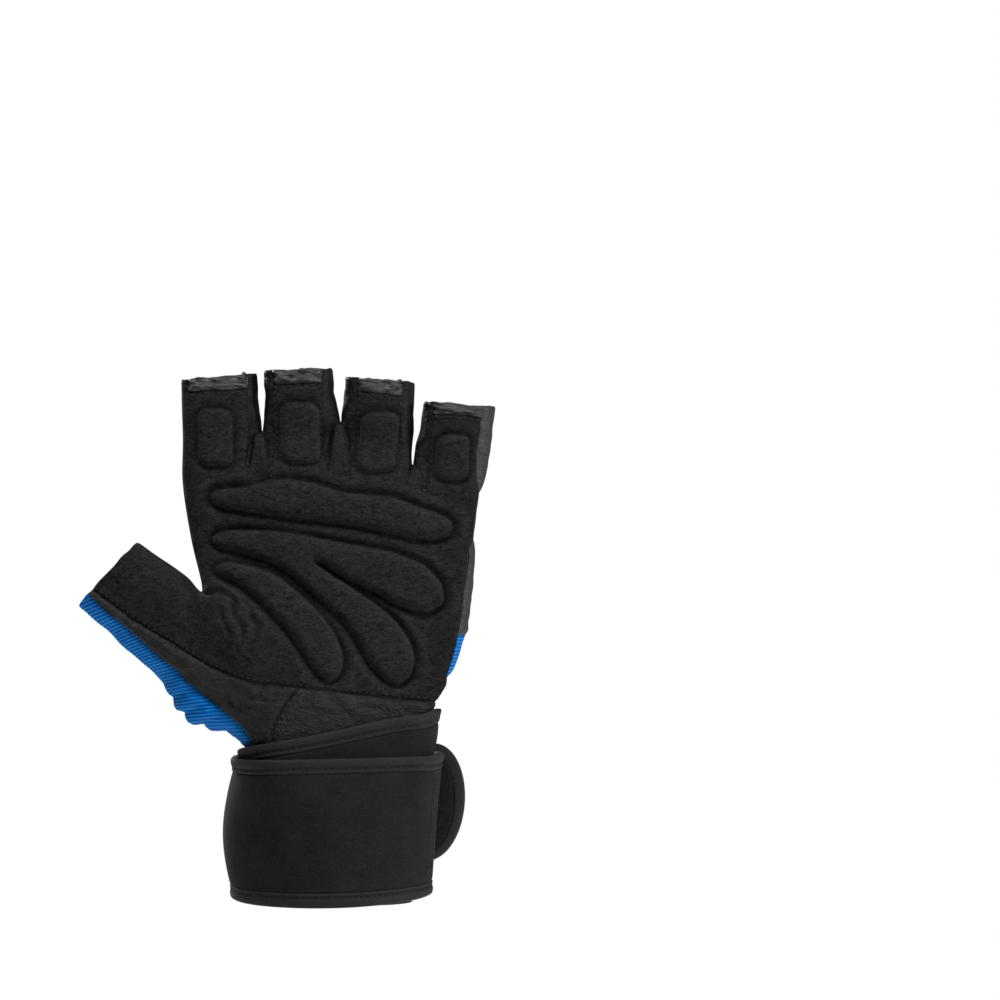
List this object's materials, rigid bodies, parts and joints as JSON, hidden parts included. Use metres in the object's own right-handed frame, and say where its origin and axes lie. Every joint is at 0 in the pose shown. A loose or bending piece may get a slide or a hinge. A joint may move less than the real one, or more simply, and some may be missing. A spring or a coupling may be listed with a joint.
{
  "type": "weightlifting glove",
  "caption": "Half-finger glove for the left hand in its worn shape, with a padded suede palm, ribbed knit thumb and a strap wound round the wrist.",
  "frame": {"origin": "middle of the wrist opening", "axes": "+Z from the wrist to the fingertips, -Y out of the palm, -X to the thumb's side"},
  "size_m": [0.1545, 0.0624, 0.1974],
  "materials": {
    "suede": "brushed synthetic suede, greenish black, with low soft pile",
    "leather": "fine-grained synthetic leather, brownish black, soft sheen",
    "knit": "ribbed stretch knit, bright blue",
    "neoprene": "neoprene with a smooth knitted face, near black",
    "binding": "folded knitted binding tape, near black"
  },
  "bodies": {
    "root": {"palm_suede": "suede", "thumb_gusset": "leather", "heel_leather": "leather", "outer_strip": "leather", "back_knit": "knit", "thumb_knit": "knit", "wrist_sleeve": "neoprene", "side_wall_index_middle": "leather", "side_wall_middle_ring": "leather", "side_wall_ring_little": "leather", "hem_index": "leather", "hem_middle": "leather", "hem_ring": "leather", "hem_little": "leather", "pad_index": "suede", "pad_middle": "suede", "pad_ring": "suede", "pad_little": "suede", "pad_knuckles": "suede", "pad_centre": "suede", "pad_thenar": "suede", "strap": "neoprene", "strap_upper_binding": "binding", "strap_lower_binding": "binding", "tab": "neoprene", "tab_binding": "binding"}
  },
  "joints": []
}
